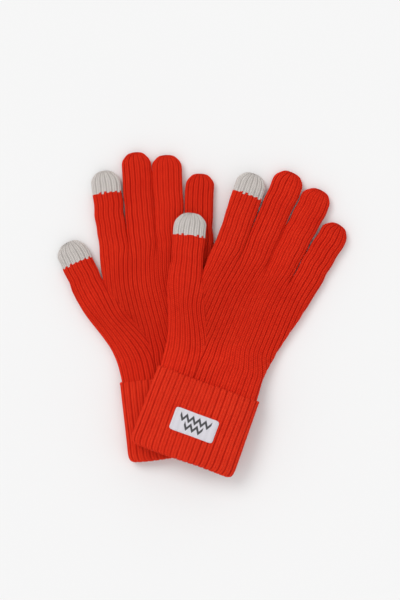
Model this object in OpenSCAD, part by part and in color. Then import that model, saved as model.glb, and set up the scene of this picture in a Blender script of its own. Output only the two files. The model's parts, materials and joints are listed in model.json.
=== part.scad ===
// A pair of rib-knit touchscreen gloves laid flat, the right glove resting across the left one.
// Each glove is drawn once, flat, with its cuff fold on the origin and its fingers toward +Y,
// then turned and moved to its place. +Z is up and z = 0 is the surface the pair lies on.

/* [Knit] */
// Thickness of one layer of rib knit
knit = 1.9; // [1.6:0.1:2.0]
// Height of the empty room inside a flat-lying glove
room = 5.6; // [5.2:0.1:6.0]
// Air left between pieces that must not touch
gap = 0.4; // [0.3:0.1:0.5]

/* [Cuff] */
// Width across the turned-back cuff at its fold
cuff_w = 93; // [88:1:97]
// Height of the turned-back cuff from fold to free edge
cuff_h = 67; // [62:1:70]
// Width of the knit tube just above the cuff
wrist_w = 87; // [83:1:88]
// Height of the bound-off free edge of the cuff
edge_h = 2.4; // [1.6:0.2:3]

/* [Hand] */
// Width across the knuckles, where the four fingers begin
knuckle_w = 98.5; // [97:0.5:100]
// Distance from the cuff fold to the knuckle line
palm_h = 182.5; // [181:0.5:184]

/* [Fingers] */
// Bent-finger pivot to tip, for the thumb
thumb_len = 52; // [48:1:54]
// The same, for the index finger
index_len = 59; // [54:1:62]
// The same, for the middle finger
middle_len = 73; // [66:1:75]
// The same, for the ring finger
ring_len = 69; // [62:1:71]
// The same, for the little finger
little_len = 48; // [44:1:50]
// Width of a finger at its base
finger_w = 23.2; // [22:0.2:23.4]
// Width of a finger near its tip
finger_tip_w = 24.6; // [23:0.2:24.8]
// Width of the thumb
thumb_w = 27; // [25:0.5:27.5]
// Length of the conductive fingertip
touch_len = 20; // [16:1:22]

/* [Label] */
// Width of the woven label
label_w = 39; // [34:1:44]
// Height of the woven label
label_h = 20; // [16:0.5:24]
// Thickness of the woven label
label_t = 0.7; // [0.5:0.1:0.9]

/* [Lay of the pair] */
// How far the right glove turns clockwise
right_turn = 20.2; // [18:0.2:22]
// How far the left glove turns counter-clockwise
left_turn = 7.1; // [5:0.1:9]
// How far the left glove's knuckles lean toward its thumb
left_lean = 12; // [10:0.5:13]
// Distance over which the right glove sinks from the left glove to the table
fall = 50; // [45:1:60]

/* [Hidden] */
RED = [0.86, 0.17, 0.10];
DEEP_RED = [0.78, 0.13, 0.08];
GREY = [0.74, 0.70, 0.68];
WHITE = [0.90, 0.89, 0.91];
RIGHT = 1;
LEFT = 0;
glove_t = room + 2 * knit;
cuff_t = glove_t + 2 * knit;
half_t = glove_t / 2;
half_cuff = cuff_t / 2;
// where each glove's cuff fold has its middle
place_xy = [[-17.7, -120.4], [-19.2, -122.7]];
turn = [left_turn, -right_turn];
// bounding box centre of the pair, so that the row frame stands on its bottom centre
centre = [-0.71, 0.785];
// pivot of each finger on the flat glove, its direction (clockwise from +Y) and its length
PIVOT = [[-51, 149.6], [-24, 191.5], [0.6, 190], [24.4, 188.6], [48.8, 187.6]];
AIM = [[-14.5, -1, 3.3, 7.6, 11.8], [-14.5, -1, 3.3, 7.6, 11.8]];
THUMB = 0; INDEX = 1; MIDDLE = 2; RING = 3; LITTLE = 4;
// the left glove's little and ring fingers are held down by the right thumb, so they bend further out
HELD = [0, 0, 0, 17.5, 23];
// left fingers lean with the hand, the thumb most of all
LEFT_AIM = [-2.5, 0.6, -0.6, -2.8, -2.8];
LEFT_THUMB_SHORT = 6;
LEFT_LITTLE_LONG = 3;
FULL_LEN = [thumb_len, index_len, middle_len, ring_len, little_len];
side_steps = 4;

function ease(a, b, x) = let (k = min(1, max(0, (x - a) / (b - a)))) k * k * (3 - 2 * k);
function spin(p, a) = [p[0] * cos(a) - p[1] * sin(a), p[0] * sin(a) + p[1] * cos(a)];
function ahead(a) = [sin(a), cos(a)];
function across(a) = [cos(a), -sin(a)];

// The left hand leans toward its thumb above the wrist
function lean(side, v) = side == LEFT ? -left_lean * ease(75, 170, v) - 0.02 * max(0, v - 170) : 0;
// Flat glove to the pair's frame
function to_pair(side, p) = place_xy[side] + spin([p[0] + lean(side, p[1]), p[1]], turn[side]) - centre;
// Height of the middle of the glove above what it rests on: the cuff is two layers thicker
function middle_z(v) = half_t + knit * (1 - ease(70, 90, v));

// Edge of the left glove on its free side, and the height that it lifts the right glove to
function left_edge(y) = lookup(y, [[-126, 30], [-48, 19.6], [-25, 11.5], [26, 8.5], [67, 6.6]]);
function left_hem(x) = place_xy[LEFT][1] + (x - place_xy[LEFT][0]) * tan(left_turn);
function left_v(p) = spin(p + centre - place_xy[LEFT], -left_turn)[1];
function left_top(p) = glove_t + gap
  + (cuff_t - glove_t + 0.3) * (1 - ease(cuff_h + 4, cuff_h + 25, left_v(p)));
function past(p) = max(0, p[0] + centre[0] - left_edge(p[1] + centre[1]),
  left_hem(p[0] + centre[0]) - p[1] - centre[1]);
function lift(side, p) = side == LEFT ? 0 : left_top(p) * (1 - ease(0, fall, past(p)));

// One closed ring between two points, flat above and below and round at its sides
function ring(a, b, t, n) = let (w = norm(b - a), e = (b - a) / w, r = min(t, w / 2 - 0.5)) concat(
  [for (i = [0:side_steps]) let (q = -90 + 180 * i / side_steps) [b - e * r * (1 - cos(q)), t * sin(q)]],
  [for (i = [1:1:n - 1]) [b - e * (r + (w - 2 * r) * i / n), t]],
  [for (i = [0:side_steps]) let (q = 90 - 180 * i / side_steps) [a + e * r * (1 - cos(q)), t * sin(q)]],
  [for (i = [1:1:n - 1]) [a + e * (r + (w - 2 * r) * i / n), -t]]);

// A closed skin through a list of rings
module skin(rings) {
  n = len(rings[0]);
  m = len(rings);
  polyhedron([for (r = rings) for (p = r) p], concat(
    [for (i = [0:m - 2]) for (j = [0:n - 1]) for (half = [0, 1])
      let (k = (j + 1) % n, e = i + 1)
      half == 0 ? [i * n + j, i * n + k, e * n + j] : [i * n + k, e * n + k, e * n + j]],
    [[for (j = [n - 1:-1:0]) j]],
    [[for (j = [0:n - 1]) (m - 1) * n + j]]));
}

// A closed skin through rings that follow each other round a hollow wall, the last meeting the first
module wall(rings) {
  n = len(rings[0]);
  m = len(rings);
  polyhedron([for (r = rings) for (p = r) p], [for (i = [0:m - 1]) for (j = [0:n - 1]) for (half = [0, 1])
    let (k = (j + 1) % n, e = (i + 1) % m)
    half == 0 ? [i * n + j, i * n + k, e * n + j] : [i * n + k, e * n + k, e * n + j]]);
}

// Spans across a draped ring. The left glove lies flat, so it needs no extra spans to drape with.
function spans(side) = side == LEFT ? 1 : 16;

// Rings draped over what lies below: stations are [left point, right point, half height], drawn on
// the flat glove, each one moved inward by its inset
function draped(side, stations, inset = 0) = [for (s = stations) let (e = (s[1] - s[0]) / norm(s[1] - s[0]))
  [for (q = ring(s[0] + e * inset, s[1] - e * inset, s[2] - inset, spans(side)))
    let (p = to_pair(side, q[0])) [p[0], p[1], middle_z(q[0][1]) + q[1] + lift(side, p)]]];

function reversed(list) = [for (i = [len(list) - 1:-1:0]) list[i]];

function band(v, w, t) = [[-w / 2, v], [w / 2, v], t];

// The hand from wrist to knuckles; its left side steps in where the thumb branches off
function palm() = [
  for (v = [cuff_h - 0.7, cuff_h + 3, 76, 83, 90]) band(v, wrist_w, half_t),
  [[-51.5, 109], [46, 112], half_t],
  [[-62.2, 139.5], [51, 136], half_t],
  [[-37.2, 147.5], [55, 152], half_t],
  [[-37.5, palm_h + 3], [-37.5 + knuckle_w, palm_h - 3], half_t]];

// Hollow, open at the wrist and at the knuckles, and open at its side toward the thumb, where the
// step from its widest ring to the next leaves out the round side of the tube
module hand(side) {
  rings = concat(draped(side, palm()), draped(side, palm(), knit));
  m = len(rings) / 2;
  c = len(rings[0]);
  step = m - 3;
  from = side_steps + spans(side);
  to = from + side_steps;
  function at(layer, i, j) = (layer * m + i) * c + j % c;
  function kept(i, j) = i != step || j < from || j >= to;
  // two triangles between the points p, q on one ring and r, s on the next
  function pair_of(p, q, r, s) = [[p, q, r], [q, s, r]];
  outside = [for (i = [0:m - 2]) for (j = [0:c - 1]) if (kept(i, j))
    each pair_of(at(0, i, j), at(0, i, j + 1), at(0, i + 1, j), at(0, i + 1, j + 1))];
  inside = [for (i = [0:m - 2]) for (j = [0:c - 1]) if (kept(i, j))
    each pair_of(at(1, i + 1, j), at(1, i + 1, j + 1), at(1, i, j), at(1, i, j + 1))];
  wrist_rim = [for (j = [0:c - 1])
    each pair_of(at(1, 0, j), at(1, 0, j + 1), at(0, 0, j), at(0, 0, j + 1))];
  knuckle_rim = [for (j = [0:c - 1])
    each pair_of(at(0, m - 1, j), at(0, m - 1, j + 1), at(1, m - 1, j), at(1, m - 1, j + 1))];
  thumb_rim = [for (j = [from:to - 1]) each concat(
    pair_of(at(0, step, j), at(0, step, j + 1), at(1, step, j), at(1, step, j + 1)),
    pair_of(at(1, step + 1, j), at(1, step + 1, j + 1), at(0, step + 1, j), at(0, step + 1, j + 1)))];
  thumb_sides = concat(
    pair_of(at(0, step + 1, from), at(0, step, from), at(1, step + 1, from), at(1, step, from)),
    pair_of(at(0, step, to), at(0, step + 1, to), at(1, step, to), at(1, step + 1, to)));
  polyhedron([for (r = rings) for (p = r) p],
    concat(outside, inside, wrist_rim, knuckle_rim, thumb_rim, thumb_sides));
}

// Widths of the wrist tube and of the turned-back cuff, up the glove from the fold
function wrist_at(v) = lookup(v, [[0, cuff_w - 2 * knit - 0.8], [cuff_h / 2, 88], [cuff_h, wrist_w]]);
function cuff_at(v) = lookup(v, [[5, cuff_w], [cuff_h / 2, 92], [cuff_h, wrist_w + 2 * knit + 0.6]]);

module wrist(side) {
  up = [for (v = [4.2, 14, 24, 34, 45, 56, cuff_h - 1]) band(v, wrist_at(v), half_t - 0.2)];
  wall(concat(draped(side, up), reversed(draped(side, up, knit))));
}

// The turned-back band: outside layer, and the fold that closes it to the wrist below
module cuff(side) {
  higher = [14, 24, 34, 45, 56, cuff_h];
  outside = concat([band(0, cuff_w - 3, half_cuff - 1.6), band(2, cuff_w - 0.4, half_cuff - 0.2)],
    [for (v = concat(5, higher)) band(v, cuff_at(v), half_cuff)]);
  inside = [for (v = concat(3.8, higher)) band(v, cuff_at(v), half_cuff)];
  mouth = [for (v = [3.8, 0]) band(v, cuff_w - 2 * knit, half_t)];
  wall(concat(draped(side, outside), reversed(draped(side, inside, knit - 0.05)),
    draped(side, mouth, knit)));
}

module cuff_edge(side) {
  w = cuff_at(cuff_h);
  outside = [band(cuff_h + 0.1, w, half_cuff), band(cuff_h + edge_h / 2, w + 0.4, half_cuff),
    band(cuff_h + edge_h, w - 1, half_cuff - 0.6)];
  inside = [for (v = [cuff_h + 0.1, cuff_h + edge_h / 2, cuff_h + edge_h]) band(v, w, half_cuff)];
  wall(concat(draped(side, outside), reversed(draped(side, inside, knit - 0.3))));
}

function aim(side, f) = AIM[side][f] + (side == LEFT ? LEFT_AIM[f] : 0);
function length_of(side, f) = FULL_LEN[f] - (side == RIGHT ? 0 : f == THUMB ? LEFT_THUMB_SHORT :
  f == LITTLE ? -LEFT_LITTLE_LONG : 0);
function held(side, f) = side == LEFT ? HELD[f] : 0;
function base_w(f) = f == THUMB ? thumb_w : f == INDEX ? finger_w + 0.8 : finger_w;
function tip_w(f) = f == THUMB ? thumb_w - 0.6 : f == INDEX ? finger_tip_w + 0.4 : finger_tip_w;
function touches(f) = f == THUMB || f == INDEX;

// The pivot of a finger in the pair's frame, its heading there, and its height above the table
function pivot(side, f) = to_pair(side, PIVOT[f]) + ahead(heading(side, f)) * held(side, f);
function heading(side, f) = aim(side, f) - turn[side];
function pivot_z(side, f) = half_t + lift(side, pivot(side, f));
function tip_z(side, f) = half_t
  + lift(side, pivot(side, f) + ahead(heading(side, f)) * (length_of(side, f) - held(side, f)));

// A straight finger piece: stations are [distance from pivot, width, half height]
module finger_tube(side, f, stations, inset = 0) {
  o = pivot(side, f);
  h = heading(side, f);
  reach = length_of(side, f) - held(side, f);
  rise = (tip_z(side, f) - pivot_z(side, f)) / reach;
  skin([for (s = stations)
    [for (q = ring([-s[1] / 2 + inset, s[0]], [s[1] / 2 - inset, s[0]], s[2] - inset, 1))
      let (p = o + across(h) * q[0][0] + ahead(h) * q[0][1])
      [p[0], p[1], pivot_z(side, f) + rise * s[0] + q[1]]]]);
}

// Round at the pivot so that it can bend, full in the middle, and closed and round at the tip
function finger_stations(side, f) = let (
  w = base_w(f), e = tip_w(f), s = length_of(side, f) - held(side, f)) [
  [-3.2, w - 1.4, half_t * 0.72], [0, w, half_t], [s * 0.55, (w + e) / 2, half_t], [s - 13, e, half_t],
  [s - 6, e * 0.88, half_t * 0.98], [s - 2, e * 0.62, half_t * 0.78], [s, e * 0.36, half_t * 0.40]];
function finger_room(side, f) = let (
  w = base_w(f), e = tip_w(f), s = length_of(side, f) - held(side, f)) [
  [-5, w, half_t], [s * 0.55, (w + e) / 2, half_t], [s - 13, e, half_t],
  [s - 7, e * 0.86, half_t * 0.95], [s - 3.4, e * 0.60, half_t * 0.74]];

module whole_finger(side, f) {
  difference() {
    finger_tube(side, f, finger_stations(side, f));
    finger_tube(side, f, finger_room(side, f), knit);
  }
}

// Everything beyond, or before, the line where the conductive yarn starts
module beyond_touch(side, f, far) {
  o = pivot(side, f);
  s = length_of(side, f) - held(side, f) - touch_len;
  translate([o[0], o[1], -20]) rotate(-heading(side, f))
    translate([-40, far ? s + 0.05 : s - 0.05 - 200, 0]) cube([80, 200, 80]);
}

module finger(side, f) {
  if (touches(f)) intersection() {
    whole_finger(side, f);
    beyond_touch(side, f, false);
  }
  else whole_finger(side, f);
}

module touch_tip(side, f) {
  intersection() {
    whole_finger(side, f);
    beyond_touch(side, f, true);
  }
}

// The part of a held-down finger between the knuckle line and its pivot, open at both ends
module finger_root(side, f) {
  o = to_pair(side, PIVOT[f]);
  h = heading(side, f);
  w = base_w(f);
  function place_ring(s, inset) = [for (q = ring([-w / 2 + inset, s], [w / 2 - inset, s], half_t - inset, 1))
    let (p = o + across(h) * q[0][0] + ahead(h) * q[0][1]) [p[0], p[1], half_t + q[1]]];
  from = -3.6;
  to = held(side, f) - 5.1;
  wall([place_ring(from, 0), place_ring(to, 0), place_ring(to, knit), place_ring(from, knit)]);
}

label_uv = [0.1, 32.4];
label_z = cuff_t + cuff_t + gap + 0.3;

module on_right_cuff() {
  p = to_pair(RIGHT, label_uv);
  translate([p[0], p[1], label_z]) rotate(turn[RIGHT]) children();
}

module left_hand() color(RED) hand(LEFT);
module left_wrist() color(DEEP_RED) wrist(LEFT);
module left_cuff() color(RED) cuff(LEFT);
module left_cuff_edge() color(DEEP_RED) cuff_edge(LEFT);
module left_thumb() color(RED) finger(LEFT, THUMB);
module left_thumb_tip() color(GREY) touch_tip(LEFT, THUMB);
module left_index_finger() color(RED) finger(LEFT, INDEX);
module left_index_tip() color(GREY) touch_tip(LEFT, INDEX);
module left_middle_finger() color(RED) finger(LEFT, MIDDLE);
module left_ring_root() color(RED) finger_root(LEFT, RING);
module left_ring_finger() color(RED) finger(LEFT, RING);
module left_little_root() color(RED) finger_root(LEFT, LITTLE);
module left_little_finger() color(RED) finger(LEFT, LITTLE);
module right_hand() color(RED) hand(RIGHT);
module right_wrist() color(DEEP_RED) wrist(RIGHT);
module right_cuff() color(RED) cuff(RIGHT);
module right_cuff_edge() color(DEEP_RED) cuff_edge(RIGHT);
module right_thumb() color(RED) finger(RIGHT, THUMB);
module right_thumb_tip() color(GREY) touch_tip(RIGHT, THUMB);
module right_index_finger() color(RED) finger(RIGHT, INDEX);
module right_index_tip() color(GREY) touch_tip(RIGHT, INDEX);
module right_middle_finger() color(RED) finger(RIGHT, MIDDLE);
module right_ring_finger() color(RED) finger(RIGHT, RING);
module right_little_finger() color(RED) finger(RIGHT, LITTLE);

// Woven label, flat on the right cuff
module label() color(WHITE) on_right_cuff()
  translate([-label_w / 2, -label_h / 2, 0]) cube([label_w, label_h, label_t]);

// Short straight stitches that hold the label down along its two ends
module label_stitches() color(DEEP_RED) on_right_cuff()
  for (end = [-1, 1], i = [-4:4])
    translate([end * (label_w / 2 - 1.5) - 0.35, i * label_h / 10 - 0.7, label_t]) cube([0.7, 1.4, 0.3]);

left_hand();
left_wrist();
left_cuff();
left_cuff_edge();
left_thumb();
left_thumb_tip();
left_index_finger();
left_index_tip();
left_middle_finger();
left_ring_root();
left_ring_finger();
left_little_root();
left_little_finger();
right_hand();
right_wrist();
right_cuff();
right_cuff_edge();
right_thumb();
right_thumb_tip();
right_index_finger();
right_index_tip();
right_middle_finger();
right_ring_finger();
right_little_finger();
label();
label_stitches();
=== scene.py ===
"""Looks of a pair of rib-knit touchscreen gloves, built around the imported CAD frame.

Each glove is knitted as five lanes, one per finger, that run side by side from the wrist through
the palm and then part into the thumb and fingers. A lane is a grid of points: rows along the
finger and columns across it, once for its upper and once for its lower face. Neighbouring lanes
share their borders, so the palm is one skin and the fingers grow out of it. The ribs are then
raised along the skin's normals, and the right glove is draped over the left one.

Lengths are in millimetres until a mesh is made. On a glove, u runs across it and v from its cuff
fold to its fingertips. On the table, x and y are the frame's own.
"""
import json
import math

import bpy
import numpy as np
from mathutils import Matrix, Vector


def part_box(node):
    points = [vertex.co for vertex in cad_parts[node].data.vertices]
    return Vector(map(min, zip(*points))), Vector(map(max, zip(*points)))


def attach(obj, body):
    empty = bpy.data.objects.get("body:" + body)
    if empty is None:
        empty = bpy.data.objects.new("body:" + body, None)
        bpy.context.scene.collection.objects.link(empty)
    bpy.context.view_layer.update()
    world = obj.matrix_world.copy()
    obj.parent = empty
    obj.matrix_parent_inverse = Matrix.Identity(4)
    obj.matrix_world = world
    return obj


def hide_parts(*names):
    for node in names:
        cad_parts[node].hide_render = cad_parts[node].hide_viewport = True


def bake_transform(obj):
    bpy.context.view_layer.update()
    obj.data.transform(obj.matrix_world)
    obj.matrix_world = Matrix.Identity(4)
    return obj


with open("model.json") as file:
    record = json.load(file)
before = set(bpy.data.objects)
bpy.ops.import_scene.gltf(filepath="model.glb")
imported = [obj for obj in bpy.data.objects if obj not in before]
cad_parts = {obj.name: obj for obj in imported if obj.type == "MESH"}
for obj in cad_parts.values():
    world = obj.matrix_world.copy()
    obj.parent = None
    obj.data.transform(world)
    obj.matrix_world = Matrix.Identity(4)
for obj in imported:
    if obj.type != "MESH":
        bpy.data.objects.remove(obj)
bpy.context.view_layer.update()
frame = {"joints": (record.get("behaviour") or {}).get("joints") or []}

# ---------------------------------------------------------------- sizes, as the CAD has them
MM = 0.001
KNIT = 1.9                     # one layer of knit
HALF_T = 4.7                   # half the thickness of an empty glove
HALF_CUFF = HALF_T + KNIT      # half the thickness where the cuff is turned back
CUFF_H = 67.0                  # height of the turned-back band
CUFF_W = 93.0                  # width of the cuff near its fold
WRIST_W = 87.0                 # width of the wrist where it leaves the cuff
GAP = 0.4                      # between the gloves, where one lies on the other
SIDES = ("left", "right")
FINGERS = ("thumb", "index", "middle", "ring", "little")
LANES = len(FINGERS)
CENTRE = (-0.71, 0.785)        # of the pair's box, where the frame's origin is
FOLD_AT = {"left": (-17.7 - CENTRE[0], -120.4 - CENTRE[1]),     # middle of each cuff's fold
           "right": (-19.2 - CENTRE[0], -122.7 - CENTRE[1])}
TURN = {"left": 7.1, "right": -20.2}                            # of each glove, in degrees
LENGTH = {"left": (46, 59, 73, 51.5, 28), "right": (52, 59, 73, 69, 48)}   # fingers, from the joint
BASE_W = (27.0, 24.6, 24.4, 24.4, 24.0)
TIP_W = (26.8, 26.0, 26.0, 25.8, 24.6)
TOUCH_LEN = 20.0               # conductive length of the thumb and index tips
HELD = ("ring", "little")      # left fingers that the right thumb lies on
CLOSE = ("index", "middle")    # left fingers that lie close together, so a little narrower
CLOSE_LESS = 0.9
LABEL_W, LABEL_H = 39.0, 20.0

# the left glove's fingers lean toward its thumb
LEFT_LEAN = 12.0
LEAN_FROM, LEAN_TO = 75, 170
LEAN_BEYOND = 0.02             # further lean for each millimetre past LEAN_TO

# the left glove's edge under the right glove, and how softly the right glove sinks past it
EDGE_Y = (-126, -48, -25, 26, 67)
EDGE_X = (30, 19.6, 11.5, 8.5, 6.6)
FALL = 50.0

# ---------------------------------------------------------------- the knit
COLS = 90                      # columns across one face of a lane
PALM_ROWS = 112
ROW_STEP = 0.7                 # between a finger's rows
WRIST_V = 58.0                 # the hand's knit starts inside the cuff
RIBS_FINGER = 6.4              # ribs across one face
RIBS_THUMB = 7.2
RIBS_CUFF = 18
VALLEY_DEPTH = 1.0             # between ribs
WALE_DEPTH = 0.45              # of the line between a rib's two wales
WALE_LINE = 0.38               # width of that line
TABLE_Z = 0.05                 # nothing lies lower
HAND, ROOT, RED, TIP = range(4)    # kinds of piece

# a glove's outline on the thumb's side, the gore line that becomes the index finger's edge, and
# the outline on the little finger's side, as (u, v)
OUTER_EDGE = [(-43.5, 55), (-44.3, 75), (-45.7, 89), (-51.3, 108), (-58.0, 125), (-61.8, 135),
              (-64.3, 143.5)]
GORE_EDGE = [(-14, 55), (-14, 85), (-14.8, 101), (-18.2, 112), (-25.5, 128), (-31.4, 140),
             (-36.2, 151), (-37.8, 161), (-37.4, 175), (-36.2, 187)]
INNER_EDGE = [(43.5, 55), (42.8, 75), (42.3, 89), (45.6, 112), (50.8, 134), (55, 152),
              (58.6, 168), (60.8, 179)]
KNUCKLE_V = (187.0, 178.5)     # along the gore edge and along the inner edge
SHARE = (0, 0.2536, 0.503, 0.747, 1)   # where the lanes' borders lie between those two edges
THUMB_V = OUTER_EDGE[-1][1]    # where the thumb's outer edge begins
CROTCH_V = 151.3               # where the thumb parts from the palm
CROTCH_ROW = int(round(PALM_ROWS * (CROTCH_V - WRIST_V) / (KNUCKLE_V[0] - WRIST_V)))
GROOVE, THUMB_GROOVE = 15, 11  # lengths over which the palm's borders round into fingers

# a fingertip
TIP_PLAN = 12.5                # length over which it narrows, seen from above
TIP_SIDE = 9                   # length over which it thins
TIP_ROWS = 20
SETTLE = 16                    # a finger's first stretch, where it takes its own line and width

# metres before and after a joint, the span of each red part's blend
BLEND_BEFORE, BLEND_AFTER = 0.0045, 0.015

# seeds of the slow unevenness in each thing that has it
RNG_SEED = 11
SEED_RIBS, SEED_SKIN, SEED_SWAY, SEED_FOLD = 3, 5, 7, 9
SEED_CUFF_RIBS, SEED_LABEL, SEED_VALLEYS = 12, 21, 31


def ease(a, b, x):
    """Goes smoothly from 0 at a to 1 at b."""
    k = np.clip((np.asarray(x, float) - a) / (b - a), 0, 1)
    return k * k * (3 - 2 * k)


def spin(p, degrees):
    a = math.radians(degrees)
    c, s = math.cos(a), math.sin(a)
    p = np.asarray(p, float)
    return np.stack([p[..., 0] * c - p[..., 1] * s, p[..., 0] * s + p[..., 1] * c], -1)


def to_table(side, p):
    return np.asarray(FOLD_AT[side]) + spin(p, TURN[side])


def to_glove(side, p):
    return spin(np.asarray(p, float) - np.asarray(FOLD_AT[side]), -TURN[side])


def smooth_line(points, v):
    """A smooth curve u(v) through a few points."""
    p = np.asarray(points, float)
    slope = np.gradient(p[:, 0], p[:, 1])
    k = np.clip(np.searchsorted(p[:, 1], v) - 1, 0, len(p) - 2)
    h = p[k + 1, 1] - p[k, 1]
    t = np.clip((v - p[k, 1]) / h, 0, 1)
    return ((2 * t**3 - 3 * t**2 + 1) * p[k, 0] + (t**3 - 2 * t**2 + t) * h * slope[k]
            + (3 * t**2 - 2 * t**3) * p[k + 1, 0] + (t**3 - t**2) * h * slope[k + 1])


def wobble(a, b, seed):
    """Slow, small unevenness of hand-laid knit, between about -1 and 1."""
    r = np.random.default_rng(RNG_SEED + seed)
    total = np.zeros(np.broadcast(a, b).shape)
    for _ in range(5):
        k = r.normal(size=2) / (18 + 30 * r.random())
        total = total + np.sin(2 * math.pi * (a * k[0] + b * k[1] + r.random()))
    return total / 3


# ---------------------------------------------------------------- how the gloves lie
def leaned(side, p):
    """Leans points of the left glove toward its thumb; the right glove lies straight."""
    if side == "right":
        return p
    v = p[..., 1]
    lean = -LEFT_LEAN * ease(LEAN_FROM, LEAN_TO, v) - LEAN_BEYOND * np.maximum(0, v - LEAN_TO)
    return np.stack([p[..., 0] + lean, v], -1)


def left_top(xy):
    """Height of the left glove's upper face, where the right glove may lie on it."""
    v = to_glove("left", xy)[..., 1]
    return 2 * HALF_T + GAP + (2 * KNIT + 0.3) * (1 - ease(CUFF_H + 4, CUFF_H + 25, v))


def lift(side, xy):
    """How high a point of a glove is carried: zero for the left glove, which lies on the table."""
    if side == "left":
        return np.zeros(xy.shape[:-1])
    edge = np.interp(xy[..., 1] + CENTRE[1], EDGE_Y, EDGE_X) - CENTRE[0]
    fold_x, fold_y = FOLD_AT["left"]
    hem = fold_y + (xy[..., 0] - fold_x) * math.tan(math.radians(TURN["left"]))
    past = np.maximum(0, np.maximum(xy[..., 0] - edge, hem - xy[..., 1]))
    return left_top(xy) * (1 - ease(0, FALL, past))


def drape(side, points):
    """Lays a flat glove's points on the table, over the other glove where it lies there."""
    xy = to_table(side, points[:, :2])
    return np.column_stack([xy, points[:, 2] + lift(side, xy)])


def middle_z(v):
    """Height of a glove's middle, which is raised where it leaves the thicker cuff."""
    return HALF_T + KNIT * (1 - ease(70, 90, v))


# ---------------------------------------------------------------- sections
def even_round(start, stop, samples, x_power, h_power, flatness, steps):
    """A rounded section from one angle to another, at even steps round it: x and height."""
    t = np.linspace(start, stop, samples)
    x = np.sign(np.cos(t)) * np.abs(np.cos(t)) ** (2 / x_power)
    h = np.sign(np.sin(t)) * np.abs(np.sin(t)) ** (2 / h_power)
    run = np.concatenate([[0], np.cumsum(np.hypot(np.diff(x * flatness), np.diff(h)))])
    even = np.linspace(0, run[-1], steps + 1)
    return np.interp(even, run, x), np.interp(even, run, h)


# a finger's upper half
ROUND_X, ROUND_H = even_round(math.pi, 0, 2001, 2.5, 2.3, 2.6, COLS)
ROUND_X[COLS // 2] = 0
FLAT_X = np.linspace(-1, 1, COLS + 1)


def section(mode_left, mode_right):
    """Section of a lane whose left and right halves go from flat (0) to round (1)."""
    mode = np.where(FLAT_X < 0, np.asarray(mode_left)[..., None], np.asarray(mode_right)[..., None])
    return FLAT_X * (1 - mode) + ROUND_X * mode, (1 - mode) + ROUND_H * mode


def joint_of(side, finger):
    return next(j for j in frame["joints"] if j["name"] == f"{side}_{finger}_bend")


def joint_place(side, finger):
    """A finger's pivot, heading and crosswise direction on its own glove, from the CAD joint."""
    j = joint_of(side, finger)
    across = spin(np.array(j["axis"][:2]), -TURN[side])
    return to_glove(side, np.array(j["pos_m"][:2]) * 1000), np.array([-across[1], across[0]]), across


# ---------------------------------------------------------------- ribs
def palm_phase(v, u):
    """Rib number across the palm: ribs follow the fingers, and widen toward the wrist."""
    pitch = 3.8 + 0.8 * (1 - ease(84, 112, v))
    start = np.interp(v, (60, 85, 110, 150, 180, 190), (-36.8, -36.8, -30.6, -28.4, -24.9, -23.7))
    return (u - start) / pitch


def gore_phase(v, u):
    """Rib number across the thumb's gore: ribs follow the outer edge, and meet the palm's below."""
    pitch = 3.9 + 0.7 * (1 - ease(90, 125, v))
    inset = 14 + 1.9 * (1 - ease(90, 140, v))
    return (u - smooth_line(OUTER_EDGE, v) - inset) / pitch


def shaken(phase, v, u):
    """Makes the ribs of the hand and fingers run a little unevenly."""
    return phase + 0.10 * wobble(v * 0.6, u * 0.25, SEED_RIBS)


def rib_relief(phase, along, pitch=4.2):
    """Height of the knit under its crests: two wales to a rib, with a fine line between them.
    No two valleys are equally deep, and each varies along its length."""
    uneven = wobble(along * 1.6, np.round(phase) * 23.0, SEED_VALLEYS)
    own = np.sin(np.round(phase) * 12.9898) * 0.16
    from_middle = np.abs(2 * (phase - np.floor(phase)) - 1)
    dome = -VALLEY_DEPTH * (1 + own + 0.15 * uneven) * from_middle ** 3.2
    return dome - WALE_DEPTH * np.exp(-((from_middle * pitch / 2 / WALE_LINE) ** 2))


# ---------------------------------------------------------------- a glove's skin
class Skin:
    """Points of one glove before welding, each with its relief, rib number and place along it."""

    def __init__(self):
        self.points, self.info, self.quads, self.groups = [], [], [], []
        self.count = 0

    def add(self, xyz, info, group):
        """xyz and info are [rows, columns, ...]; group is [rows - 1, columns - 1]."""
        rows, cols = xyz.shape[:2]
        ids = self.count + np.arange(rows * cols).reshape(rows, cols)
        self.count += rows * cols
        self.points.append(xyz.reshape(-1, 3))
        self.info.append(info.reshape(rows * cols, -1))
        quads = np.stack([ids[:-1, :-1], ids[:-1, 1:], ids[1:, 1:], ids[1:, :-1]], -1)
        self.quads.append(quads.reshape(-1, 4))
        self.groups.append(group.reshape(-1))

    def weld(self):
        """Joins equal points. Their relief is averaged; rib number and place are one point's own."""
        points, info = np.concatenate(self.points), np.concatenate(self.info)
        quads, groups = np.concatenate(self.quads), np.concatenate(self.groups)
        _, first, which = np.unique(np.round(points, 3), axis=0, return_index=True, return_inverse=True)
        which = which.reshape(-1)
        merged = np.zeros((len(first), info.shape[1]))
        np.add.at(merged, which, info)
        merged /= np.bincount(which)[:, None]
        merged[:, 1:] = info[first, 1:]
        return points[first], merged, which[quads], groups


def normals(points, quads):
    n = np.zeros_like(points)
    face = np.cross(points[quads[:, 2]] - points[quads[:, 0]], points[quads[:, 3]] - points[quads[:, 1]])
    for k in range(4):
        np.add.at(n, quads[:, k], face)
    return n / np.maximum(np.linalg.norm(n, axis=1, keepdims=True), 1e-12)


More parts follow.
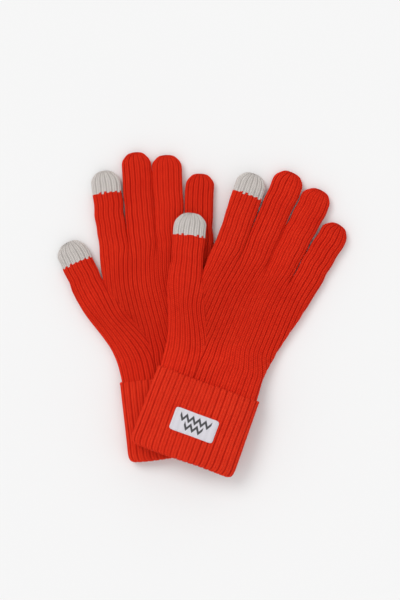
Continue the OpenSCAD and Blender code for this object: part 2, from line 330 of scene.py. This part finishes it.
def lane_faces(skin, left, right, x, h, half, z_mid, phase, along, group):
    """Adds a lane's upper and lower faces. left and right are its edges, row by row; x and h its
    section; half its half thickness; phase the rib number at each point."""
    mid, reach = (left + right) / 2, (right - left) / 2
    plan = mid[:, None] + reach[:, None] * x[..., None]
    relief = rib_relief(phase, along) * (0.55 + 0.45 * ease(0, 0.55, h))
    info = np.stack([relief, phase, along], -1)
    for sign in (1, -1):
        z = z_mid[:, None] + sign * h * half[:, None]
        xyz = np.concatenate([plan, z[..., None]], -1)
        skin.add(xyz[:, ::sign], info[:, ::sign], group[:, ::sign])


def palm_edges():
    """The borders of the five lanes, from the wrist row to the knuckle row, as [border][row]."""
    row = np.arange(PALM_ROWS + 1)
    gore_v, inner_v = (WRIST_V + (knuckle - WRIST_V) * (row / PALM_ROWS) for knuckle in KNUCKLE_V)
    outer_v = WRIST_V + (THUMB_V - WRIST_V) * np.minimum(1, row / CROTCH_ROW)
    outer, gore, inner = (np.stack([smooth_line(line, v), v], -1) for line, v in
                          ((OUTER_EDGE, outer_v), (GORE_EDGE, gore_v), (INNER_EDGE, inner_v)))
    return [outer] + [gore * (1 - s) + inner * s for s in SHARE]


def add_palm(skin, side):
    """Adds the hand, and returns the two ends of the row that each finger grows from."""
    edges = palm_edges()
    row = np.arange(PALM_ROWS + 1)
    step = (KNUCKLE_V[0] - WRIST_V) / PALM_ROWS
    groove = ease(-GROOVE, 0, (row - PALM_ROWS) * step) ** 1.4
    thumb_groove = ease(-THUMB_GROOVE, 0, (row - CROTCH_ROW) * step) ** 1.4
    one = np.ones(PALM_ROWS + 1)
    # how round each lane is, on its left side and its right side
    modes = [(one, thumb_groove), (np.maximum(thumb_groove, row > CROTCH_ROW), groove),
             (groove, groove), (groove, groove), (groove, one)]
    bases = []
    for lane in range(LANES):
        last = PALM_ROWS if lane else CROTCH_ROW
        rows = slice(0, last + 1)
        left, right = edges[lane][rows], edges[lane + 1][rows]
        x, h = section(modes[lane][0][rows], modes[lane][1][rows])
        plan = ((left + right) / 2)[:, None] + ((right - left) / 2)[:, None] * x[..., None]
        u, v = plan[..., 0], plan[..., 1]
        across = FLAT_X[None] * 0.5 * np.ones_like(u)
        # the palm's own ribs turn into the finger's toward the lane's end
        if lane == 0:
            free, finger = gore_phase(v, u), RIBS_THUMB * across
            mix = ease(last - 22, last - 2, row[rows])[:, None]
        else:
            free, finger = palm_phase(v, u), RIBS_FINGER * (across + lane - 1)
            mix = ease(last - 26, last - 4, row[rows])[:, None]
        phase = shaken(free * (1 - mix) + finger * mix, v, u)
        left_line, right_line = leaned(side, left), leaned(side, right)
        lane_faces(skin, left_line, right_line, x, h, np.full(len(left), HALF_T),
                   middle_z((left[:, 1] + right[:, 1]) / 2), phase, v,
                   np.full((last, COLS), group_of(HAND)))
        bases.append((left_line[-1], right_line[-1]))
    return bases


def group_of(kind, k=0):
    return kind * 10 + k


def finger_groups(side, k, s, ribs):
    """Which piece each quad of a finger belongs to: root, red part or conductive tip."""
    mid_s = (s[1:] + s[:-1])[:, None] / 2
    mid_x = (FLAT_X[1:] + FLAT_X[:-1]) / 2
    group = np.full((len(s) - 1, COLS), group_of(RED, k))
    if side == "left" and FINGERS[k] in HELD:
        group[(mid_s < -6)[:, 0]] = group_of(ROOT, k)
    if k < 2:
        # the tip's edge steps from wale to wale and bows a little
        wale = np.floor(ribs * mid_x + 50)
        jag = np.where(wale % 2 > 0, 0.45, -0.45) + 0.35 * np.sin(wale * 2.3 + k)
        start = LENGTH[side][k] - TOUCH_LEN + 0.4 + jag + (1 - mid_x ** 2)
        group = np.where(mid_s > start[None], group_of(TIP, k), group)
    return group


def add_finger(skin, side, k, base):
    """Adds a finger, from the palm's row at its base to its tip."""
    finger = FINGERS[k]
    pivot, ahead, across = joint_place(side, finger)
    full = LENGTH[side][k]
    left0, right0 = base
    middle0, reach0 = (left0 + right0) / 2, (right0 - left0) / 2
    s0 = float((middle0 - pivot) @ ahead)
    tip_s = full - TIP_PLAN
    s = np.concatenate([np.arange(s0, tip_s, ROW_STEP),
                        tip_s + TIP_PLAN * np.sin(np.linspace(0, math.pi / 2, TIP_ROWS))])
    tip = np.clip((s - tip_s) / TIP_PLAN, 0, 1)
    blunt = np.interp(tip, (0, 0.30, 0.52, 0.78, 1), (1, 0.985, 0.90, 0.68, 0.50))
    round_w = blunt * (1 - tip ** 16) ** 0.5
    round_t = (1 - np.clip((s - (full - TIP_SIDE)) / TIP_SIDE, 0, 1) ** 2.2) ** 0.5
    tip_w = TIP_W[k] - (CLOSE_LESS if side == "left" and finger in CLOSE else 0)
    width = np.interp(s, (s0, 18, full - 8), (BASE_W[k], 0.4 * BASE_W[k] + 0.6 * tip_w, tip_w)) / 2
    settle = ease(s0, s0 + SETTLE, s)
    # soft fingers don't have ruler-straight edges
    sway = 0.45 * wobble(s, k * 40.0 + (side == "left") * 200, SEED_SWAY) * settle
    centre = pivot + ahead * s[:, None] + across * sway[:, None]
    centre = centre + (middle0 - (pivot + ahead * s0)) * (1 - settle)[:, None]
    reach = reach0 * (1 - settle)[:, None] + across * width[:, None] * settle[:, None]
    reach = reach * np.maximum(round_w, 0.012)[:, None]
    left, right = centre - reach, centre + reach
    left[0], right[0] = left0, right0
    x, h = section(np.ones(len(s)), np.ones(len(s)))
    ribs = RIBS_THUMB if k == 0 else RIBS_FINGER
    plan = centre[:, None] + reach[:, None] * ROUND_X[None, :, None]
    phase = ribs * (FLAT_X[None] * 0.5 + max(k - 1, 0)) * np.ones((len(s), 1))
    phase = shaken(phase, plan[..., 1], plan[..., 0])
    base_v = (left0[1] + right0[1]) / 2 + (right0[1] - left0[1]) / 2 * ROUND_X
    along = s[:, None] - s0 + base_v[None]
    lane_faces(skin, left, right, x, h, HALF_T * np.maximum(round_t, 0.02), np.full(len(s), HALF_T),
               phase, along, finger_groups(side, k, s, ribs))


# ---------------------------------------------------------------- meshes
def place(name, data):
    """Puts an object in the scene, at the origin."""
    thing = bpy.data.objects.new(name, data)
    bpy.context.scene.collection.objects.link(thing)
    return thing


def make_piece(name, points, quads, material, attributes=None):
    """A smooth mesh from the points that its quads use, with one number per point and attribute."""
    used, compact = np.unique(quads, return_inverse=True)
    mesh = bpy.data.meshes.new(name)
    mesh.from_pydata((points[used] * MM).tolist(), [], compact.reshape(quads.shape).tolist())
    mesh.validate()
    for key, values in (attributes or {}).items():
        layer = mesh.attributes.new(key, "FLOAT", "POINT")
        layer.data.foreach_set("value", np.ascontiguousarray(values[used], dtype=np.float32))
    mesh.polygons.foreach_set("use_smooth", [True] * len(mesh.polygons))
    mesh.materials.append(material)
    return place(name, mesh)


def dress(piece, node, body, blend=None):
    """Hides the CAD part that a piece stands for, and rides the piece on its body, or bakes its placement
    into its mesh when a blend is given.
    """
    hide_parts(node)
    if blend:
        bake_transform(piece)
    else:
        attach(piece, body)


# ---------------------------------------------------------------- materials
class Nodes:
    """A small helper to wire shader nodes."""

    def __init__(self, name):
        self.material = bpy.data.materials.new(name)
        self.material.use_nodes = True
        self.tree = self.material.node_tree
        self.shader = self.tree.nodes["Principled BSDF"]

    def feed(self, socket, item):
        """Sets a socket to a number or colour, or links it to another node's output."""
        if isinstance(item, (int, float, tuple)):
            socket.default_value = item
        else:
            self.tree.links.new(item, socket)

    def math(self, op, a, b=0.0):
        n = self.tree.nodes.new("ShaderNodeMath")
        n.operation = op
        self.feed(n.inputs[0], a)
        self.feed(n.inputs[1], b)
        return n.outputs[0]

    def add(self, *items):
        total = items[0]
        for item in items[1:]:
            total = self.math("ADD", total, item)
        return total

    def times(self, a, b):
        return self.math("MULTIPLY", a, b)

    def apart(self, a, b):
        """How far two numbers are apart."""
        return self.math("ABSOLUTE", self.math("SUBTRACT", a, b))

    def wave(self, value, turns=1.0):
        return self.math("SINE", self.times(value, 2 * math.pi * turns))

    def attribute(self, key):
        n = self.tree.nodes.new("ShaderNodeAttribute")
        n.attribute_name = key
        return n.outputs["Fac"]

    def noise(self, scale, detail=3.0):
        n = self.tree.nodes.new("ShaderNodeTexNoise")
        n.inputs["Scale"].default_value = scale
        n.inputs["Detail"].default_value = detail
        place_of = self.tree.nodes.new("ShaderNodeTexCoord").outputs["Object"]
        self.tree.links.new(place_of, n.inputs["Vector"])
        return n.outputs["Fac"]

    def mix(self, factor, a, b):
        n = self.tree.nodes.new("ShaderNodeMix")
        n.data_type = "RGBA"
        for socket, item in (("Factor", factor), ("A", a), ("B", b)):
            self.feed(n.inputs[socket], item)
        return n.outputs["Result"]

    def ramp(self, value, low, high, flip=False):
        """Goes from 0 at low to 1 at high, or from 1 to 0 when flipped."""
        n = self.tree.nodes.new("ShaderNodeMapRange")
        ends = (1.0, 0.0) if flip else (0.0, 1.0)
        for socket, item in zip(("From Min", "From Max", "To Min", "To Max"), (low, high, *ends)):
            n.inputs[socket].default_value = item
        self.tree.links.new(value, n.inputs["Value"])
        return n.outputs["Result"]

    def bump(self, height, distance, strength=1.0):
        n = self.tree.nodes.new("ShaderNodeBump")
        n.inputs["Distance"].default_value = distance
        n.inputs["Strength"].default_value = strength
        self.tree.links.new(height, n.inputs["Height"])
        self.tree.links.new(n.outputs["Normal"], self.shader.inputs["Normal"])

    def colour(self, output):
        self.tree.links.new(output, self.shader.inputs["Base Color"])

    def finish(self, **settings):
        """Sets the shader's own sockets, such as sheen_weight, and returns the material."""
        names = {"specular": "Specular IOR Level"}
        for key, item in settings.items():
            self.shader.inputs[names.get(key, key.replace("_", " ").title())].default_value = item
        return self.material


def knit_material(name, light, dark, painted_shade, sheen=0.16):
    """Rib knit: V-shaped stitches in every wale, fibre fuzz, and painted shade on the stitches, along the
    wales' edges and in the valleys between the ribs.
    """
    n = Nodes(name)
    phase, along, relief = n.attribute("rib"), n.attribute("along"), n.attribute("relief")
    course = 1.55              # height of a stitch
    # place inside one wale, 0 in its middle and 1 at its edges
    inside = n.times(n.apart(n.math("FRACT", n.times(phase, 2.0)), 0.5), 2.0)
    slanted = n.add(n.math("DIVIDE", along, course), n.times(inside, 0.85))
    leg = n.times(n.add(n.wave(slanted), 1.0), 0.5)
    # a leg is plump in its middle and thin where it dives under the next one
    plump = n.math("SUBTRACT", 1.0, n.math("POWER", n.apart(inside, 0.45), 1.5))
    stitch = n.times(leg, plump)
    fibres, loops = n.noise(2600.0, 4.0), n.noise(520.0)
    patches, broad = n.noise(70.0, 2.0), n.noise(14.0, 2.0)
    # the stitches' legs are painted lighter where they swell and darker where they dive under the next one
    # (painted shade); the noises add the yarn's own uneven tone
    tone_and_stitch_shade = n.add(n.times(stitch, 0.45), n.times(patches, 0.25), n.times(broad, 0.20), n.times(loops, 0.55))
    colour = n.mix(n.ramp(tone_and_stitch_shade, 0.56, 0.80), dark, light)
    # painted shade along each wale's edges, where two wales meet
    colour = n.mix(n.times(n.ramp(inside, 0.62, 1.0), 0.34), colour, painted_shade)
    # painted shade in the deep valleys between the ribs
    colour = n.mix(n.times(n.ramp(relief, -0.95, -0.22, flip=True), 0.80), colour, painted_shade)
    n.colour(n.mix(n.times(n.ramp(fibres, 0.45, 0.75), 0.16), colour, light))
    n.bump(n.add(stitch, n.times(fibres, 0.35), n.times(loops, 0.7)), 0.6 * MM)
    return n.finish(roughness=0.86, specular=0.06, sheen_weight=sheen, sheen_roughness=0.6,
                    sheen_tint=light)


def label_material():
    """White woven satin with a generic zigzag in dark yarn."""
    n = Nodes("woven_label")
    uv = n.tree.nodes.new("ShaderNodeUVMap")
    uv.uv_map = "label"
    split = n.tree.nodes.new("ShaderNodeSeparateXYZ")
    n.tree.links.new(uv.outputs["UV"], split.inputs[0])
    x, y = split.outputs[0], split.outputs[1]
    teeth, swing, line = 7.0, 0.46, 0.085      # across the label, and as shares of its height
    # the teeth are the same in both rows
    saw = n.math("SUBTRACT", n.apart(n.math("FRACT", n.times(x, teeth)), 0.5), 0.25)

    def zigzag(centre, reach):
        on = n.math("LESS_THAN", n.apart(y, n.add(n.times(saw, swing), centre)), line)
        return n.times(on, n.math("LESS_THAN", n.apart(x, 0.5), reach))

    motif = n.math("MAXIMUM", zigzag(0.67, 0.357), zigzag(0.33, 0.214))
    weave = n.times(n.wave(x, 130), n.wave(y, 74))
    white = n.mix(n.ramp(weave, -1.0, 1.0), (0.68, 0.66, 0.72, 1), (0.86, 0.85, 0.90, 1))
    white = n.mix(n.times(n.noise(160.0), 0.35), white, (0.74, 0.68, 0.74, 1))
    n.colour(n.mix(n.times(motif, 0.93), white, (0.012, 0.012, 0.015, 1)))
    n.bump(n.add(weave, n.times(motif, 1.5)), 0.08 * MM, 0.7)
    return n.finish(roughness=0.55, sheen_weight=0.05)


def thread_material():
    n = Nodes("sewing_thread")
    twist = n.noise(1800.0, 2.0)
    n.colour(n.mix(n.ramp(twist, 0.3, 0.7), (0.55, 0.53, 0.57, 1), (0.82, 0.81, 0.85, 1)))
    n.bump(twist, 0.1 * MM)
    return n.finish(roughness=0.55)


def paper_material():
    n = Nodes("paper")
    n.colour(n.mix(n.noise(3.0), (0.90, 0.90, 0.90, 1), (0.91, 0.91, 0.91, 1)))
    return n.finish(roughness=1.0, specular=0.0)


# each yarn's valley colour is painted shade, for the ribs' valleys and the wales' edges
RED_YARN = knit_material("red_yarn", light=(1.0, 0.048, 0.016, 1), dark=(0.72, 0.015, 0.006, 1),
                         painted_shade=(0.44, 0.005, 0.002, 1))
CUFF_YARN = knit_material("cuff_yarn", light=(1.0, 0.058, 0.020, 1), dark=(0.76, 0.020, 0.008, 1),
                          painted_shade=(0.46, 0.007, 0.003, 1))
GREY_YARN = knit_material("conductive_yarn", light=(0.88, 0.82, 0.78, 1), dark=(0.68, 0.63, 0.60, 1),
                          painted_shade=(0.46, 0.42, 0.39, 1), sheen=0.12)


# ---------------------------------------------------------------- gloves
def glove_piece(side, group, points, quads, attributes):
    """Makes one piece of a glove's skin, hides the CAD part that it stands for, and rides it on its body
    or bakes its placement.
    """
    kind, k = divmod(int(group), 10)
    finger, hand = f"{side}_{FINGERS[k]}", f"{side}_hand"
    red_node = finger if k == 0 else f"{finger}_finger"
    name, node, body = {HAND: (hand, hand, hand),
                        ROOT: (f"{finger}_root", f"{finger}_root", hand),
                        RED: (finger, red_node, None),
                        TIP: (f"{finger}_tip", f"{finger}_tip", finger)}[kind]
    material, slot = (GREY_YARN, "conductive_knit") if kind == TIP else (RED_YARN, "red_knit")
    piece = make_piece(f"{name}_knit", points, quads, material, attributes)
    blend = None
    if kind == RED:
        # the red part crosses the joint, from the hand to the finger
        joint = joint_of(side, FINGERS[k])
        pivot, axis = np.array(joint["pos_m"]), np.array(joint["axis"])
        ahead = np.array([-axis[1], axis[0], 0])
        blend = (hand, finger, tuple(pivot - ahead * BLEND_BEFORE), tuple(pivot + ahead * BLEND_AFTER))
    dress(piece, node, body, blend)


def build_glove(side):
    """A glove's hand and fingers: one skin, then cut into its pieces."""
    skin = Skin()
    for k, base in enumerate(add_palm(skin, side)):
        add_finger(skin, side, k, base)
    points, info, quads, groups = skin.weld()
    broad = wobble(points[:, 0], points[:, 1], SEED_SKIN)
    points = points + normals(points, quads) * (info[:, :1] + VALLEY_DEPTH * 0.3 + 0.25 * broad[:, None])
    points[:, 2] = np.maximum(points[:, 2], TABLE_Z)
    points = drape(side, points)
    attributes = {"relief": info[:, 0], "rib": info[:, 1], "along": info[:, 2]}
    for group in np.unique(groups):
        glove_piece(side, group, points, quads[groups == group], attributes)


def build_tube(name, side, node, profile):
    """A tube round the wrist. profile is a list of (v, inset): where each row is along the glove,
    and how far inside the cuff's outer face it lies."""
    around = 2 * COLS * 3
    cx, ch = (c[:-1] for c in even_round(0, 2 * math.pi, 4001, 6.5, 2.4, 7, around))
    v, inset = np.array(profile, float).T
    half_w = np.interp(v, (0, 1.5, 4, 8, CUFF_H / 2, CUFF_H),
                       (CUFF_W / 2 - 3.4, CUFF_W / 2 - 1.5, CUFF_W / 2 - 0.4, CUFF_W / 2, 46.0,
                        WRIST_W / 2 + KNIT + 0.3))
    u = cx[None] * (half_w - inset)[:, None]
    z = HALF_CUFF + ch[None] * (HALF_CUFF - inset)[:, None]
    straight = v[:, None] + 0 * u
    # the fold isn't ruler straight, and neither is the cuff's edge
    bowed = straight + 0.5 * wobble(u * 0.7, 0 * u, SEED_FOLD) * (1 - ease(2, 30, straight))
    bowed = bowed + 0.3 * wobble(u, 0 * u + 50, SEED_FOLD) * ease(50, 66, straight)
    phase = RIBS_CUFF * (np.arange(around) / around * 2)[None] + 0 * u
    phase = phase + 0.12 * wobble(bowed * 0.5, u * 0.2, SEED_CUFF_RIBS)
    relief = rib_relief(phase, bowed, 5.1)
    along = np.concatenate([[0], np.cumsum(np.hypot(np.diff(v), np.diff(inset)))])[:, None] + 0 * u
    ids = np.arange(len(v) * around).reshape(len(v), around)
    following = np.roll(ids, -1, 1)
    quads = np.stack([ids[:-1], following[:-1], following[1:], ids[1:]], -1).reshape(-1, 4)
    points = np.stack([u, bowed, z], -1).reshape(-1, 3)
    attributes = {"relief": relief.reshape(-1), "rib": phase.reshape(-1), "along": along.reshape(-1)}
    points = points + normals(points, quads) * (attributes["relief"][:, None] + VALLEY_DEPTH * 0.25)
    points[:, 2] = np.maximum(points[:, 2], TABLE_Z)
    piece = make_piece(name, drape(side, points), quads, CUFF_YARN, attributes)
    dress(piece, node, f"{side}_hand")


def build_cuff(side):
    """The turned-back cuff, the wrist inside it, and the cuff's bound-off edge."""
    fold = [(KNIT - KNIT * math.sin(a), KNIT - KNIT * math.cos(a)) for a in np.linspace(0, math.pi, 13)]
    inner = 2 * KNIT
    edge = [(0.6, 1.9), (1.7, 1.5), (2.1, 0.9), (1.9, 0.2), (1.3, -0.2), (0.6, -0.25), (-0.2, 0.05)]
    cuff = ([(v, 0.0) for v in np.arange(CUFF_H, KNIT, -1.0)] + fold
            + [(v, inner) for v in np.arange(KNIT + 1, 12, 1.0)])
    wrist = [(v, inner) for v in np.arange(11.0, CUFF_H - 2, 1.5)]
    rim = [(CUFF_H + past, inset) for past, inset in edge]
    for part, profile in (("cuff", cuff), ("wrist", wrist), ("cuff_edge", rim)):
        build_tube(f"{side}_{part}_knit", side, f"{side}_{part}", profile)


# ---------------------------------------------------------------- label
def build_label():
    """The woven label on the right cuff, and the threads that hold it."""
    low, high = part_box("label")
    centre = to_glove("right", (np.array(low[:2]) + np.array(high[:2])) * 500)
    base_z = low[2] * 1000
    cloth = label_cloth(centre, base_z)
    stitches = label_stitches(centre, base_z)


def on_right_cuff(points):
    return np.column_stack([to_table("right", points[:, :2]), points[:, 2]])


def label_cloth(centre, base_z):
    columns, rows, thick = 120, 64, 0.45
    x, y = np.meshgrid(np.linspace(-1, 1, columns + 1), np.linspace(-1, 1, rows + 1), indexing="ij")
    # slightly rounded, slightly uneven outline
    pinch = 1 - 0.012 * (1 - x ** 2) - 0.006 * np.sin(3 * x + 1)
    round_u = 1 - 0.045 * np.abs(x) ** 12 * np.abs(y) ** 8
    round_v = 1 - 0.09 * np.abs(x) ** 14 * np.abs(y) ** 8
    u = centre[0] + x * LABEL_W / 2 * (1 - 0.008 * (1 - y ** 2)) * round_u
    v = centre[1] + y * LABEL_H / 2 * pinch * round_v
    # the label rides on the ribs below, and its border is pulled down by the stitches
    border = np.maximum(ease(0.93, 1, np.abs(x)), ease(0.88, 1, np.abs(y)))
    wave = 0.16 * np.sin(2 * math.pi * u / 5.0) * (1 - 0.5 * border) + 0.12 * wobble(u, v, SEED_LABEL)
    top = base_z + 0.95 + wave - 0.45 * border
    points = np.concatenate([np.stack([u, v, z], -1).reshape(-1, 3) for z in (top, top - thick)])
    below = x.size
    ids = np.arange(below).reshape(x.shape)
    upper = np.stack([ids[:-1, :-1], ids[1:, :-1], ids[1:, 1:], ids[:-1, 1:]], -1).reshape(-1, 4)
    rim = np.concatenate([ids[:, 0], ids[-1, 1:], ids[-2::-1, -1], ids[0, -2:0:-1]])
    following = np.roll(rim, -1)
    sides = np.stack([rim, rim + below, following + below, following], -1)
    quads = np.concatenate([upper, upper[:, ::-1] + below, sides])
    piece = make_piece("label_cloth", on_right_cuff(points), quads, label_material())
    flat = np.concatenate([np.stack([x, y], -1).reshape(-1, 2)] * 2)
    corner = np.empty(len(piece.data.loops), dtype=np.int32)
    piece.data.loops.foreach_get("vertex_index", corner)
    uv = np.ascontiguousarray((flat[corner] + 1) / 2, dtype=np.float32)
    piece.data.uv_layers.new(name="label").data.foreach_set("uv", uv.reshape(-1))
    dress(piece, "label", "right_hand")
    return piece


def label_stitches(centre, base_z):
    """Short rounded threads along both ends, dipping into the label at each end."""
    ring, length, radius, inset = 8, 9, 0.24, 1.5
    turn = np.linspace(0, 2 * math.pi, ring, endpoint=False)[None]
    s = np.linspace(-1, 1, length)[:, None]
    arch = np.sqrt(np.maximum(0, 1 - s ** 4))
    thick = 0.35 + 0.65 * arch
    points, quads = [], []
    for end in (-1, 1):
        for i in range(-4, 5):
            ids = len(points) * ring * length + np.arange(ring * length).reshape(length, ring)
            following = np.roll(ids, -1, 1)
            u = centre[0] + end * (LABEL_W / 2 - inset) + radius * np.cos(turn) * thick
            v = centre[1] + i * LABEL_H / 10 + 0.8 * s + 0 * turn
            z = base_z + 0.62 + 0.22 * arch + 0.2 * np.sin(turn) * thick
            points.append(np.stack([u, v, z], -1).reshape(-1, 3))
            quads.append(np.stack([ids[:-1], following[:-1], following[1:], ids[1:]], -1).reshape(-1, 4))
    piece = make_piece("label_stitch_threads", on_right_cuff(np.concatenate(points)),
                       np.concatenate(quads), thread_material())
    dress(piece, "label_stitches", "right_hand")
    return piece


# ---------------------------------------------------------------- floor, light and camera
VIEW_HEIGHT = 516.0            # millimetres of the table seen from top to bottom of the picture
LENS, SENSOR = 100, 36
VIEW_AT = (-2.3, 12.35)        # the table's point under the camera


def add_floor():
    mesh = bpy.data.meshes.new("floor")
    mesh.from_pydata([(-4, -4, 0), (4, -4, 0), (4, 4, 0), (-4, 4, 0)], [], [(0, 1, 2, 3)])
    mesh.materials.append(paper_material())
    place("floor", mesh)


def add_light():
    world = bpy.data.worlds.new("studio")
    world.use_nodes = True
    background = world.node_tree.nodes["Background"]
    background.inputs["Color"].default_value = (1, 1, 1, 1)
    background.inputs["Strength"].default_value = 0.79
    bpy.context.scene.world = world
    light = bpy.data.lights.new("sun", "SUN")
    light.energy, light.angle = 1.0, math.radians(30)
    # from above, to the left
    place("sun", light).rotation_euler = (math.radians(-30), math.radians(-32), 0)


def add_camera():
    """Looks straight down on the table."""
    data = bpy.data.cameras.new("camera")
    data.lens, data.sensor_width = LENS, SENSOR
    camera = place("camera", data)
    camera.location = (VIEW_AT[0] * MM, VIEW_AT[1] * MM, VIEW_HEIGHT / SENSOR * LENS * MM)
    bpy.context.scene.camera = camera
    bpy.context.scene.view_settings.view_transform = "Standard"


for glove in SIDES:
    build_glove(glove)
    build_cuff(glove)
build_label()
add_floor()
add_light()
add_camera()
